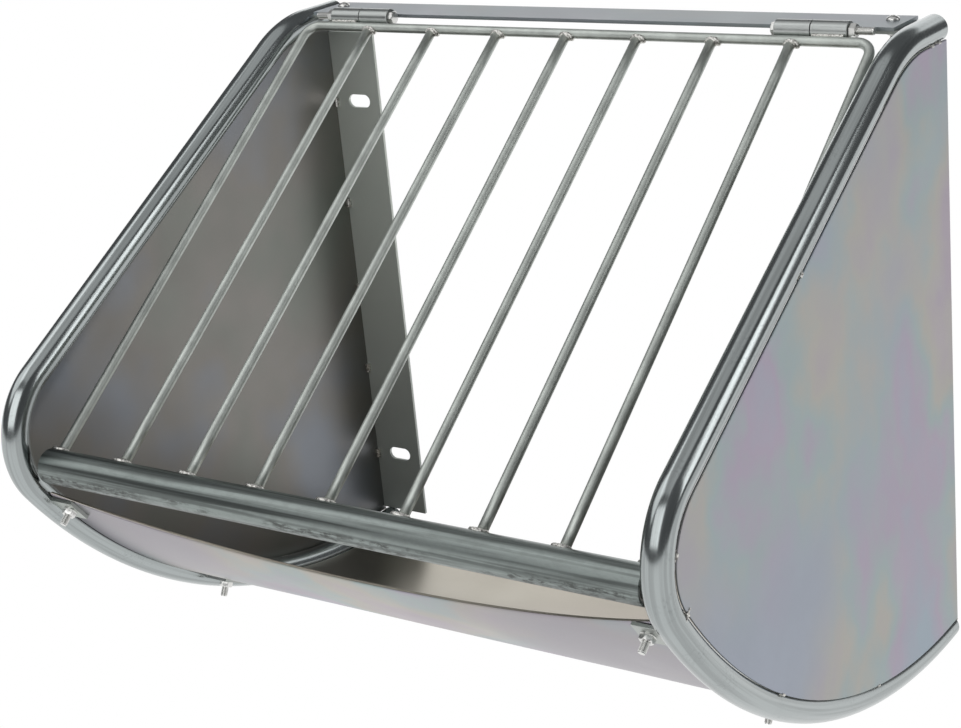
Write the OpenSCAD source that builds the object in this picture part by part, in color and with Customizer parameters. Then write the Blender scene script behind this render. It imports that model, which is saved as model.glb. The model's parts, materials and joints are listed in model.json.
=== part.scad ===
// Wall-mounted hay feeder box: two sheet end panels in bent tube rims, a rolled
// trough between them, a strip across the top and a barred grille that hangs
// from the strip on two hinges.
// Lengths are in millimetres. X runs along the wall, the wall is the plane
// y = 0, the feeder stands in front of it at -Y, and Z is up. The origin is the
// centre of the four wall slots. Heights named _h are above the rims' lowest point.

/* [Overall] */
// Width over both rims
total_w = 600; // [520:1:760]
// Depth from the wall to the front of the rims
total_d = 466; // [440:1:500]
// Height from the lowest to the highest point of the rims
total_h = 525; // [500:1:570]

/* [Rims] */
// Outside diameter of the rim tube
rim_od = 22; // [20:0.5:24]
// Wall of the rim tube
rim_wall = 2; // [1:0.1:3]
// Straight length of the rim from the wall to its top bend
top_flat = 41; // [20:1:60]
// Bend radius of the tube's centreline at the top
top_bend_r = 113; // [90:1:130]
// Bend radius of the tube's centreline at the front
front_bend_r = 61; // [45:1:75]
// Radius of the tube's centreline along the belly
belly_r = 507; // [490:1:530]
// Distance of the belly's centre from the wall
belly_offset = 32; // [15:1:50]

/* [End panels and wall flanges] */
// Thickness of the end panels
panel_t = 2; // [1:0.1:3]
// Distance of the panels' outer faces inside the rims' outer sides
panel_inset = 1; // [0.5:0.1:2]
// Width of the wall flanges
flange_w = 50; // [44:1:60]
// Thickness of the wall flanges
flange_t = 3; // [2:0.1:5]
// Height of the flanges' lower ends
flange_bottom_h = 23; // [22:1:50]
// Distance of the flanges' upper ends below the rims' top
flange_top_drop = 28; // [24:1:50]

/* [Wall slots] */
// Height of a slot
slot_h = 12; // [8:0.5:14]
// Length of a slot over its round ends
slot_len = 24; // [18:0.5:30]
// Distance from a panel's inner face to the slots' centres
slot_from_panel = 27; // [20:0.5:28]
// Distance from a flange's upper end to its upper slot
slot_from_top = 64; // [30:1:80]
// Distance between the upper and lower slots
slot_spacing = 350; // [300:1:370]

/* [Trough] */
// Thickness of the trough sheet
sheet_t = 1.5; // [1:0.1:2]
// Gap between the sheet's ends and the rims
sheet_side_gap = 1.5; // [1:0.1:3]
// Gap between the sheet's rear edge and the wall
sheet_wall_gap = 1; // [0.5:0.1:5]
// Distance of the lip's ends below the start of the belly, along the sheet
lip_inset = 6; // [4:0.5:20]
// Dip of the lip at mid-span, along the sheet
lip_dip = 50; // [20:1:70]
// Width of the lip's folded hem
hem_w = 6; // [4:0.5:6.5]

/* [Trough lugs] */
// Length of a lug along the rim
lug_l = 24; // [20:1:30]
// Thickness of a lug
lug_t = 3; // [2:0.1:4]
// Reach of a lug past its bolt
lug_margin = 9; // [8:0.5:14]
// Distance of the front bolts from the lip's ends, along the sheet
lug_from_lip = 17; // [16:0.5:40]
// Distance of the rear bolts from the wall, along the sheet
lug_from_wall = 67; // [30:1:100]
// Distance of the trough bolts from the rims
bolt_from_rim = 13; // [12:0.5:18]

/* [Top strip] */
// Reach of the strip from the wall
strip_d = 45; // [40:1:60]
// Thickness of the strip
strip_t = 3; // [2:0.1:4]
// Gap between the strip's back edge and the wall
strip_wall_gap = 0.3; // [0.2:0.1:2]
// Gap between the strip's ends and the rims
strip_side_gap = 1.5; // [1:0.5:10]
// Drop of the strip's top below the rims' top
strip_drop = 1.5; // [1:0.1:3]
// Thickness of the strip's brackets
bracket_t = 3; // [2:0.1:4]
// Depth of the brackets
bracket_d = 38; // [30:1:40]
// Lap of the strip over a bracket
bracket_lap = 23; // [20:1:30]
// Distance of the strip's screws from its ends
screw_from_end = 13; // [9:0.5:16]
// Distance of the strip's screws from the wall
screw_from_wall = 17; // [12:0.5:30]

/* [Hinges] */
// Outside diameter of the hinge knuckles
knuckle_od = 15; // [13:0.1:16]
// Length of a knuckle
knuckle_l = 30; // [20:0.5:40]
// End play between neighbouring hinge pieces
knuckle_play = 0.5; // [0.3:0.1:1]
// Radial clearance of a knuckle on its bolt
hinge_clearance = 0.06; // [0.03:0.01:0.09]
// Relief in the strip's front edge behind a moving knuckle
notch_d = 1; // [0.5:0.1:3]
// Length of a hinge bolt under its head
hinge_bolt_l = 80; // [74:0.5:86]

/* [Grille] */
// Diameter of the grille's rods
rod_d = 8; // [6:0.5:9]
// Gap between the grille's side rods and the rims
grille_side_gap = 6; // [4:0.5:10]
// Bend radius of the frame rod's centreline
corner_r = 13; // [10:1:20]
// Distance of the moving knuckles from the frame rod's corners
knuckle_from_corner = 10; // [6:1:20]
// Outside diameter of the cross tube
tube_od = 28; // [24:0.5:32]
// Wall of the cross tube
tube_wall = 2; // [1:0.1:3]
// Distance of the cross tube's front behind the rims' front
tube_inset = 13.5; // [8:0.5:20]
// Gap between the cross tube and the ends of the trough's lip
tube_lip_gap = 10.5; // [8:0.5:20]
// Gap between the cross tube's ends and the rims
tube_side_gap = 6; // [5:0.5:12]
// Diameter of the part of an end plug that shows
plug_d = 17; // [12:0.5:20]
// Reach of an end plug past the tube's end
plug_proud = 4.5; // [1:0.5:5]
// Recess of the plug's collar inside the tube's end
plug_recess = 3; // [1:0.5:6]
// Length of the plug's collar
plug_collar_l = 14; // [8:0.5:20]

/* [Fasteners] */
// Diameter of every bolt and screw
bolt_d = 6; // [5:0.1:6.5]
// Size of the nuts and hexagon heads across flats
hex_af = 10; // [9:0.1:10.5]
// Thickness of a nut
nut_t = 5; // [4:0.1:6]
// Thickness of a hexagon head
hex_head_t = 4; // [3:0.1:5]
// Diameter of the round heads
head_d = 10.5; // [9:0.1:11]
// Height of the round heads
head_t = 3.2; // [2:0.1:4]
// Length of a trough bolt under its head
trough_bolt_l = 18; // [12:0.5:22]
// Length of a strip screw under its head
strip_screw_l = 16; // [13:0.5:25]

/* [Fits] */
// Radial clearance of a bolt in a plain hole
hole_clearance = 0.3; // [0.2:0.05:0.6]
// Radial clearance between a nut and its bolt
thread_clearance = 0.05; // [0.03:0.01:0.1]
// Gap between welded pieces, which the weld bridges
weld_gap = 0.3; // [0.1:0.05:0.5]
// Gap between the curved sheet and the flat faces that clamp it
seat_gap = 0.1; // [0.1:0.05:0.3]
// Radial clearance of a plug's collar in the cross tube
plug_clearance = 0.05; // [0.02:0.01:0.1]

/* [Hidden] */
$fn = 96;

LEFT = -1;
RIGHT = 1;
INNER_BARS = 7;

// How far a cutting shape runs past what it cuts
over = 5;
// What a tight bend's tube loses on each side of its wall, and how far the bend
// runs into its neighbours
bend_thinning = 0.02;
bend_lap = 1;
degrees_per_radian = 180 / PI;

// Across the width: distances from the middle plane
rim_x = total_w / 2 - rim_od / 2;
rim_inner_x = total_w / 2 - rim_od;
rim_bore = rim_od - 2 * rim_wall;
panel_outer_x = total_w / 2 - panel_inset;
panel_inner_x = panel_outer_x - panel_t;
slot_x = panel_inner_x - slot_from_panel;
sheet_half_w = rim_inner_x - sheet_side_gap;
bolt_x = rim_inner_x - bolt_from_rim;
strip_half_w = rim_inner_x - strip_side_gap;
screw_x = strip_half_w - screw_from_end;
side_rod_x = rim_inner_x - grille_side_gap - rod_d / 2;
bar_pitch = 2 * side_rod_x / (INNER_BARS + 1);
tube_half_l = rim_inner_x - tube_side_gap;

// The rim's centreline in the side plane, as [y, height] points
rim_top_h = total_h - rim_od / 2;
top_centre = [-top_flat, rim_top_h - top_bend_r];
belly_centre = [-belly_offset, rim_od / 2 + belly_r];
front_centre_y = front_bend_r + rim_od / 2 - total_d;
front_drop = sqrt(pow(belly_r - front_bend_r, 2) - pow(front_centre_y - belly_centre.x, 2));
front_centre = [front_centre_y, belly_centre.y - front_drop];

// Directions on that centreline, as angles from +Y towards up
centres_span = top_centre - front_centre;
slope_normal = atan2(centres_span.y, centres_span.x)
    + acos((front_bend_r - top_bend_r) / norm(centres_span));
belly_start = 180 + atan2(belly_centre.y - front_centre.y, belly_centre.x - front_centre.x);
belly_end = 270 + asin(belly_offset / belly_r);
slope_l = sqrt(pow(norm(centres_span), 2) - pow(top_bend_r - front_bend_r, 2));

// The panel's edge follows the centreline, clear of the tube's side
panel_edge = sqrt(pow(rim_od / 2, 2) - pow(panel_inner_x - rim_x, 2)) + weld_gap;

// Wall flanges and slots
flange_top_h = total_h - flange_top_drop;
slot_top_h = flange_top_h - slot_from_top;
origin_h = slot_top_h - slot_spacing / 2;

// Trough: angles about the belly's centre
lip_end = belly_start + arc_angle(lip_inset);
lip_middle = lip_end + arc_angle(lip_dip);
lip_sagitta = belly_r * sin(arc_angle(lip_dip));
lip_r = (pow(sheet_half_w, 2) + pow(lip_sagitta, 2)) / (2 * lip_sagitta);
sheet_end = 270 + asin((belly_offset - sheet_wall_gap) / belly_r);
lug_first = lip_end + arc_angle(lug_from_lip);
lug_last = belly_end - arc_angle(lug_from_wall);
lug_angles = [lug_first, (lug_first + lug_last) / 2, lug_last];
lug_face_r = belly_r + seat_gap;
head_face_r = belly_r - sheet_t - seat_gap;
lip_end_h = belly_centre.y + belly_r * sin(lip_end);

// Top strip, screws and hinge line
strip_top_h = total_h - strip_drop;
strip_bottom_h = strip_top_h - strip_t;
strip_middle_y = -(strip_wall_gap + strip_d) / 2;
hinge_y = -(strip_d + weld_gap + knuckle_od / 2);
hinge_h = strip_top_h - strip_t / 2;
corner_x = side_rod_x - corner_r;
knuckle_outer_x = corner_x - knuckle_from_corner;
moving_knuckle_x = knuckle_outer_x - knuckle_l;
fixed_knuckle_x = moving_knuckle_x - knuckle_play - knuckle_l;
hinge_nut_x = knuckle_outer_x + knuckle_play;

// Grille: the plane through the hinge line and the cross tube's axis
tube_y = tube_inset + tube_od / 2 - total_d;
tube_h = lip_end_h + tube_lip_gap + tube_od / 2;
grille_slope = atan2(hinge_h - tube_h, hinge_y - tube_y);
grille_l = norm([hinge_y - tube_y, hinge_h - tube_h]);
rod_offset = knuckle_od / 2 + weld_gap + rod_d / 2;

hole_d = bolt_d + 2 * hole_clearance;
hinge_bore_d = bolt_d + 2 * hinge_clearance;
nut_bore_d = bolt_d + 2 * thread_clearance;

function arc_angle(length) = length / belly_r * degrees_per_radian;
function polar(centre, r, angle) = centre + r * [cos(angle), sin(angle)];

// Puts a shape drawn as X = world Y, Y = height, Z = world X into place at x
module side_plane(x) {
    translate([x, 0, -origin_h])
        rotate([90, 0, 90])
            children();
}

// Lays a shape drawn at the origin onto a height above the rims' lowest point
module at_height(x, y, h) {
    translate([x, y, h - origin_h])
        children();
}

// Puts a shape drawn with the hinge line as its X axis and the grille running
// along -Y into the grille's slope
module on_grille() {
    at_height(0, hinge_y, hinge_h)
        rotate([grille_slope, 0, 0])
            children();
}

// Turns a shape drawn along X about the trough's axis to an angle on the sheet
module on_sheet(x, angle) {
    side_plane(x)
        translate([belly_centre.x, belly_centre.y, 0])
            rotate([0, 0, angle])
                children();
}

// Everything behind the wall plane
module behind_wall() {
    translate([-total_w, 0, -total_h])
        cube([2 * total_w, total_d, 2 * total_h]);
}

// A round bar or tube along the rim's whole centreline, which runs past the wall
// at both ends. Each piece starts in the frame where its neighbour ends
module rim_run(side, d, bore = 0) {
    side_plane(side * rim_x)
        translate([belly_centre.x, belly_centre.y, 0])
            rotate([0, 0, belly_start])
                translate([belly_r, 0, 0]) {
                    arc(belly_r, 0, belly_end + arc_angle(over) - belly_start, d, bore);
                    mirror([0, 1, 0]) {
                        drawn_bend(front_bend_r, belly_start - slope_normal, d, bore);
                        after_bend(front_bend_r, belly_start - slope_normal)
                            rim_top(d, bore);
                    }
                }
}

module rim_top(d, bore) {
    straight(slope_l, d, bore);
    translate([0, slope_l, 0]) {
        drawn_bend(top_bend_r, slope_normal - 90, d, bore);
        after_bend(top_bend_r, slope_normal - 90)
            straight(top_flat + over, d, bore);
    }
}

// A straight piece from the origin along +Y
module straight(l, d, bore) {
    rotate([-90, 0, 0])
        linear_extrude(l)
            tube_section(d, bore);
}

// A curved piece from the origin, which sets off along +Y and turns towards -X
module arc(r, start, stop, d, bore) {
    translate([-r, 0, 0])
        rotate([0, 0, start])
            rotate_extrude(angle = stop - start)
                translate([r, 0])
                    tube_section(d, bore);
}

// A tight bend, whose wall is drawn thinner than its neighbours' and runs into them
module drawn_bend(r, angle, d, bore) {
    lap = bend_lap / r * degrees_per_radian;
    arc(r, -lap, angle + lap, d - 2 * bend_thinning, bore > 0 ? bore + 2 * bend_thinning : 0);
}

module after_bend(r, angle) {
    translate([-r, 0, 0])
        rotate([0, 0, angle])
            translate([r, 0, 0])
                children();
}

module tube_section(d, bore) {
    difference() {
        circle(d = d);
        circle(d = bore);
    }
}

module hex_nut() {
    difference() {
        hex_prism(nut_t);
        translate([0, 0, -over])
            cylinder(d = nut_bore_d, h = nut_t + 2 * over);
    }
}

// A hexagon with its corners turned down on the outer end
module hex_prism(t) {
    corner_d = hex_af / cos(30);
    intersection() {
        cylinder(d = corner_d, h = t, $fn = 6);
        cylinder(d1 = corner_d + t, d2 = corner_d - t / 4, h = t);
    }
}

// A round head above z = 0 on a shank below it
module round_head_bolt(l) {
    cylinder(d1 = head_d, d2 = head_d * 0.7, h = head_t);
    translate([0, 0, -l])
        cylinder(d = bolt_d, h = l);
}

module end_panel(side) {
    color("lightsteelblue")
        intersection() {
            side_plane(side * (panel_outer_x - panel_t / 2) - panel_t / 2)
                linear_extrude(panel_t)
                    panel_outline();
            translate([-total_w, -total_d, -total_h])
                cube([2 * total_w, total_d, 2 * total_h]);
        }
}

module panel_outline() {
    top_r = top_bend_r - panel_edge;
    front_r = front_bend_r - panel_edge;
    bottom_r = belly_r - panel_edge;
    belly_from = polar(belly_centre, bottom_r, belly_start);
    polygon([
        [0, rim_top_h - panel_edge],
        [top_centre.x, rim_top_h - panel_edge],
        polar(top_centre, top_r, slope_normal),
        polar(front_centre, front_r, slope_normal),
        belly_from,
        [0, belly_from.y]
    ]);
    translate(top_centre)
        circle(r = top_r);
    translate(front_centre)
        circle(r = front_r);
    intersection() {
        translate(belly_centre)
            circle(r = bottom_r);
        translate([belly_from.x, 0])
            square([-belly_from.x, belly_from.y]);
    }
}

module rim(side) {
    color("gainsboro")
        difference() {
            rim_run(side, rim_od, rim_bore);
            behind_wall();
        }
}

module wall_flange(side) {
    color("silver")
        difference() {
            at_height(side * (panel_inner_x - flange_w / 2) - flange_w / 2, -flange_t, flange_bottom_h)
                cube([flange_w, flange_t, flange_top_h - flange_bottom_h]);
            for (level = [-slot_spacing / 2, slot_spacing / 2])
                translate([side * slot_x, 0, level])
                    wall_slot();
        }
}

module wall_slot() {
    end_x = (slot_len - slot_h) / 2;
    translate([0, over, 0])
        rotate([90, 0, 0])
            linear_extrude(flange_t + 2 * over) {
                square([2 * end_x, slot_h], center = true);
                for (x = [-end_x, end_x])
                    translate([x, 0])
                        circle(d = slot_h);
            }
}

module trough_lugs(side) {
    lug_from_x = bolt_x - lug_margin;
    color("lightgray")
        difference() {
            for (angle = lug_angles)
                on_sheet(side * (lug_from_x + rim_x) / 2, angle)
                    translate([lug_face_r, -lug_l / 2, -(rim_x - lug_from_x) / 2])
                        cube([lug_t, lug_l, rim_x - lug_from_x]);
            rim_run(side, rim_od + 2 * weld_gap);
            trough_holes(side);
        }
}

// Bolt holes through the sheet and the lugs at one end of the trough
module trough_holes(side) {
    for (angle = lug_angles)
        on_sheet(side * bolt_x, angle)
            translate([belly_r - over, 0, 0])
                rotate([0, 90, 0])
                    cylinder(d = hole_d, h = 2 * over + lug_t);
}

module trough_sheet() {
    color("rosybrown")
        difference() {
            union() {
                sheet_arc(belly_r - sheet_t, belly_r, lip_end - arc_angle(over), sheet_end);
                intersection() {
                    sheet_arc(belly_r - 2 * sheet_t, belly_r, lip_end - arc_angle(over),
                        lip_middle + arc_angle(hem_w + over));
                    lip_disc(lip_r + hem_w);
                }
            }
            lip_disc(lip_r);
            trough_holes(LEFT);
            trough_holes(RIGHT);
        }
}

// A rolled sheet between two radii and two angles about the belly's centre
module sheet_arc(inner_r, outer_r, start, stop) {
    on_sheet(0, start)
        rotate_extrude(angle = stop - start)
            translate([inner_r, -sheet_half_w])
                square([outer_r - inner_r, 2 * sheet_half_w]);
}

// A disc across the sheet whose edge, at radius lip_r, is the lip's dipped line
module lip_disc(r) {
    reach = lip_sagitta;
    on_sheet(0, lip_middle)
        translate([belly_r - reach, -lip_r, 0])
            rotate([0, 90, 0])
                cylinder(r = r, h = 2 * reach, $fn = 360);
}

module trough_bolts() {
    color("whitesmoke")
        for (side = [LEFT, RIGHT], angle = lug_angles)
            on_sheet(side * bolt_x, angle)
                translate([head_face_r, 0, 0])
                    rotate([0, -90, 0])
                        round_head_bolt(trough_bolt_l);
}

module trough_nuts() {
    color("whitesmoke")
        for (side = [LEFT, RIGHT], angle = lug_angles)
            on_sheet(side * bolt_x, angle)
                translate([lug_face_r + lug_t, 0, 0])
                    rotate([0, 90, 0])
                        hex_nut();
}

module top_strip() {
    color("darkgray")
        difference() {
            at_height(-strip_half_w, -strip_d, strip_bottom_h)
                cube([2 * strip_half_w, strip_d - strip_wall_gap, strip_t]);
            for (side = [LEFT, RIGHT]) {
                strip_screw_hole(side);
                knuckle_notch(side);
            }
        }
}

// Relief in the strip's front edge along a moving knuckle and its nut
module knuckle_notch(side) {
    from_x = moving_knuckle_x - knuckle_play / 2;
    to_x = hinge_nut_x + nut_t + knuckle_play;
    at_height(side * (from_x + to_x) / 2, -strip_d, strip_bottom_h + strip_t / 2)
        cube([to_x - from_x, 2 * notch_d, 2 * strip_t], center = true);
}

module strip_screw_hole(side) {
    at_height(side * screw_x, -screw_from_wall, strip_bottom_h - bracket_t - over)
        cylinder(d = hole_d, h = bracket_t + strip_t + 2 * over);
}

module strip_bracket(side) {
    from_x = strip_half_w - bracket_lap;
    color("lightgray")
        difference() {
            at_height(side * (from_x + rim_x) / 2, strip_middle_y, strip_bottom_h - bracket_t / 2)
                cube([rim_x - from_x, bracket_d, bracket_t], center = true);
            rim_run(side, rim_od + 2 * weld_gap);
            strip_screw_hole(side);
        }
}

module strip_screws() {
    color("whitesmoke")
        for (side = [LEFT, RIGHT])
            at_height(side * screw_x, -screw_from_wall, strip_top_h)
                round_head_bolt(strip_screw_l);
}

module strip_nuts() {
    color("whitesmoke")
        for (side = [LEFT, RIGHT])
            at_height(side * screw_x, -screw_from_wall, strip_bottom_h - bracket_t)
                mirror([0, 0, 1])
                    hex_nut();
}

// A knuckle tube around the hinge line, from from_x outwards
module knuckle(side, from_x) {
    at_height(side * from_x, hinge_y, hinge_h)
        rotate([0, side * 90, 0])
            difference() {
                cylinder(d = knuckle_od, h = knuckle_l);
                translate([0, 0, -over])
                    cylinder(d = hinge_bore_d, h = knuckle_l + 2 * over);
            }
}

module fixed_knuckle(side) {
    color("silver")
        knuckle(side, fixed_knuckle_x);
}

module moving_knuckle(side) {
    color("silver")
        knuckle(side, moving_knuckle_x);
}

module hinge_bolts() {
    color("whitesmoke")
        for (side = [LEFT, RIGHT])
            at_height(side * fixed_knuckle_x, hinge_y, hinge_h)
                rotate([0, side * 90, 0]) {
                    cylinder(d = bolt_d, h = hinge_bolt_l);
                    mirror([0, 0, 1])
                        hex_prism(hex_head_t);
                }
}

module hinge_nuts() {
    color("whitesmoke")
        for (side = [LEFT, RIGHT])
            at_height(side * hinge_nut_x, hinge_y, hinge_h)
                rotate([0, side * 90, 0])
                    hex_nut();
}

// The grille's cross tube as a solid bar, for the tube and the rods' copes
module tube_bar(d, half_l) {
    on_grille()
        translate([-half_l, -grille_l, 0])
            rotate([0, 90, 0])
                cylinder(d = d, h = 2 * half_l);
}

module grille_frame_rod() {
    straight_l = grille_l - rod_offset - corner_r;
    color("darkgray")
        difference() {
            on_grille()
                translate([0, -rod_offset, 0]) {
                    translate([-corner_x, 0, 0])
                        rotate([0, 90, 0])
                            cylinder(d = rod_d, h = 2 * corner_x);
                    for (side = [LEFT, RIGHT]) {
                        translate([side * corner_x, -corner_r, 0])
                            rotate([0, 0, side == RIGHT ? 0 : 90])
                                rotate_extrude(angle = 90)
                                    translate([corner_r, 0])
                                        circle(d = rod_d);
                        translate([side * side_rod_x, -corner_r, 0])
                            rotate([90, 0, 0])
                                cylinder(d = rod_d, h = straight_l);
                    }
                }
            tube_bar(tube_od + 2 * weld_gap, total_w / 2);
        }
}

// Inner bar, counted from the left
module grille_bar(number) {
    bar_x = (number - (INNER_BARS + 1) / 2) * bar_pitch;
    color("darkgray")
        difference() {
            on_grille()
                translate([bar_x, -rod_offset, 0])
                    rotate([90, 0, 0])
                        cylinder(d = rod_d, h = grille_l - rod_offset);
            on_grille()
                translate([bar_x - rod_d, -rod_offset, 0])
                    rotate([0, 90, 0])
                        cylinder(d = rod_d + 2 * weld_gap, h = 2 * rod_d);
            tube_bar(tube_od + 2 * weld_gap, total_w / 2);
        }
}

module cross_tube() {
    color("lightslategray")
        difference() {
            tube_bar(tube_od, tube_half_l);
            tube_bar(tube_od - 2 * tube_wall, total_w / 2);
        }
}

module cross_tube_plugs() {
    collar_d = tube_od - 2 * tube_wall - 2 * plug_clearance;
    color("whitesmoke")
        for (side = [LEFT, RIGHT])
            on_grille()
                translate([side * (tube_half_l - plug_recess), -grille_l, 0])
                    rotate([0, side * 90, 0]) {
                        cylinder(d = plug_d, h = plug_recess + plug_proud);
                        translate([0, 0, -plug_collar_l])
                            cylinder(d = collar_d, h = plug_collar_l);
                    }
}

end_panel(LEFT);  // left_end_panel
end_panel(RIGHT);  // right_end_panel
rim(LEFT);  // left_rim
rim(RIGHT);  // right_rim
wall_flange(LEFT);  // left_wall_flange
wall_flange(RIGHT);  // right_wall_flange
trough_lugs(LEFT);  // left_trough_lugs
trough_lugs(RIGHT);  // right_trough_lugs
trough_sheet();
trough_bolts();
trough_nuts();
top_strip();
strip_bracket(LEFT);  // left_strip_bracket
strip_bracket(RIGHT);  // right_strip_bracket
strip_screws();
strip_nuts();
fixed_knuckle(LEFT);  // left_fixed_knuckle
fixed_knuckle(RIGHT);  // right_fixed_knuckle
hinge_bolts();
hinge_nuts();
moving_knuckle(LEFT);  // left_moving_knuckle
moving_knuckle(RIGHT);  // right_moving_knuckle
grille_frame_rod();
grille_bar(1);  // grille_bar_1
grille_bar(2);  // grille_bar_2
grille_bar(3);  // grille_bar_3
grille_bar(4);  // grille_bar_4
grille_bar(5);  // grille_bar_5
grille_bar(6);  // grille_bar_6
grille_bar(7);  // grille_bar_7
cross_tube();
cross_tube_plugs();
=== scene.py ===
import json
import math

import bmesh
import bpy
from mathutils import Matrix, Vector
from mathutils import noise as noiseField


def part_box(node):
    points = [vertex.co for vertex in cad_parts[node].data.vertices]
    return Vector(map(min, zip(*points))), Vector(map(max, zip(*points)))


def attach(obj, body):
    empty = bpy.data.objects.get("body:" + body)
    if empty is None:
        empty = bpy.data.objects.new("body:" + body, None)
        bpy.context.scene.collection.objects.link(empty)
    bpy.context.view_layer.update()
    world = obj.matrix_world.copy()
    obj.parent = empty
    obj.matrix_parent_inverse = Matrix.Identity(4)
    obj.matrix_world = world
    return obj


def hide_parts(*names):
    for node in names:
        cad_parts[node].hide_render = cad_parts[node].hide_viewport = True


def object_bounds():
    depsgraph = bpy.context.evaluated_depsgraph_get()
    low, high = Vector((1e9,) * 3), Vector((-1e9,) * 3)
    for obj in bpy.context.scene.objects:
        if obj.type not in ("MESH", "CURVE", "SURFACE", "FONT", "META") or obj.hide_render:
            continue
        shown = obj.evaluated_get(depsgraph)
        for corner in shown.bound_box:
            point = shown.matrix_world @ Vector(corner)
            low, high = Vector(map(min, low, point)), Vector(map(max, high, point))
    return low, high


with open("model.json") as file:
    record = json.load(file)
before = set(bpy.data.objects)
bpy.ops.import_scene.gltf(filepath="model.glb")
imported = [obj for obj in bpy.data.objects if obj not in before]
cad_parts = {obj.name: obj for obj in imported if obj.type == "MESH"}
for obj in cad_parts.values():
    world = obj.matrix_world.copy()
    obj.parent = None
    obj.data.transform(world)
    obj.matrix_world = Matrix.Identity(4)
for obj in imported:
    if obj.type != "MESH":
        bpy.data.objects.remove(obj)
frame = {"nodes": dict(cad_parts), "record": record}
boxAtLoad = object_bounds()
print("frame loaded")

mm = 0.001
left, right = -1, 1
sideWords = {left: "left", right: "right"}
poleRadius = 1e-6  # of the ring that ends a turned piece at its axis


# small helpers

def link(name, mesh):
    obj = bpy.data.objects.new(name, mesh)
    bpy.context.scene.collection.objects.link(obj)
    return obj


def softShade(mesh, sharpAngle):
    # smooth faces, with every edge sharper than the angle kept crisp
    limit = math.radians(sharpAngle)
    work = bmesh.new()
    work.from_mesh(mesh)
    for face in work.faces:
        face.smooth = True
    for edge in work.edges:
        edge.smooth = len(edge.link_faces) == 2 and edge.calc_face_angle(0) < limit
    work.to_mesh(mesh)
    work.free()


def meshFrom(name, points, faces, sharpAngle=32):
    mesh = bpy.data.meshes.new(name)
    mesh.from_pydata([tuple(p) for p in points], [], faces)
    work = bmesh.new()
    work.from_mesh(mesh)
    bmesh.ops.recalc_face_normals(work, faces=work.faces)
    work.to_mesh(mesh)
    work.free()
    softShade(mesh, sharpAngle)
    return mesh


def ringFaces(count, sides, closed=False):
    # quads between rings of points; a closed set joins its last ring to its first
    faces = []
    for j in range(count if closed else count - 1):
        a = j * sides
        b = (j + 1) % count * sides
        for k in range(sides):
            n = (k + 1) % sides
            faces.append((a + k, a + n, b + n, b + k))
    return faces


def joinMeshes(name, parts):
    work = bmesh.new()
    for mesh in parts:
        work.from_mesh(mesh)
    mesh = bpy.data.meshes.new(name)
    work.to_mesh(mesh)
    work.free()
    return mesh


def hand(obj, body, slotName, material, *nodes):
    # gives a finished piece its material and its body, and hides the CAD nodes it stands for
    obj.data.materials.clear()
    obj.data.materials.append(material)
    for face in obj.data.polygons:
        face.material_index = 0
    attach(obj, body)
    if nodes:
        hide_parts(*nodes)
    return obj


def bakeModifiers(obj):
    # swaps the object's mesh for the evaluated one and drops its modifiers
    depsgraph = bpy.context.evaluated_depsgraph_get()
    done = bpy.data.meshes.new_from_object(obj.evaluated_get(depsgraph))
    obj.modifiers.clear()
    obj.data = done
    return obj


dressing = {
    "mergeDistance": 1e-6,
    "flatAngle": 0.5,
    "smoothAngle": 25,
    "edgeAngle": 40,
    "edgeSegments": 2,
    "panelEdge": 0.7 * mm,
    "plateEdge": 0.4 * mm,
    "nutEdge": 0.2 * mm,
    "plugEdge": 0.5 * mm,
}


def dressNode(node, body, slotName, material, edge):
    # a copy of the CAD node with merged corners, broken edges and smooth rounds
    flatAngle = math.radians(dressing["flatAngle"])
    mesh = frame["nodes"][node].data.copy()
    work = bmesh.new()
    work.from_mesh(mesh)
    bmesh.ops.remove_doubles(work, verts=work.verts, dist=dressing["mergeDistance"])
    bmesh.ops.dissolve_limit(work, angle_limit=flatAngle, verts=work.verts, edges=work.edges)
    work.to_mesh(mesh)
    work.free()
    softShade(mesh, dressing["smoothAngle"])
    obj = link(node + "_dressed", mesh)
    bevel = obj.modifiers.new("brokenEdge", "BEVEL")
    bevel.width = edge
    bevel.segments = dressing["edgeSegments"]
    bevel.limit_method = "ANGLE"
    bevel.angle_limit = math.radians(dressing["edgeAngle"])
    bevel.harden_normals = True
    bakeModifiers(obj)
    return hand(obj, body, slotName, material, node)


def lathe(profile, sides, closed=False):
    # turns (radius, height) points about +Z; a closed profile joins its last point to its first
    points = []
    for radius, height in profile:
        for k in range(sides):
            angle = 2 * math.pi * k / sides
            points.append((radius * math.cos(angle), radius * math.sin(angle), height))
    mesh = bpy.data.meshes.new("lathe")
    mesh.from_pydata(points, [], ringFaces(len(profile), sides, closed))
    work = bmesh.new()
    work.from_mesh(mesh)
    bmesh.ops.remove_doubles(work, verts=work.verts, dist=poleRadius / 10)
    bmesh.ops.recalc_face_normals(work, faces=work.faces)
    work.to_mesh(mesh)
    work.free()
    return mesh


# geometry node trees

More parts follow.
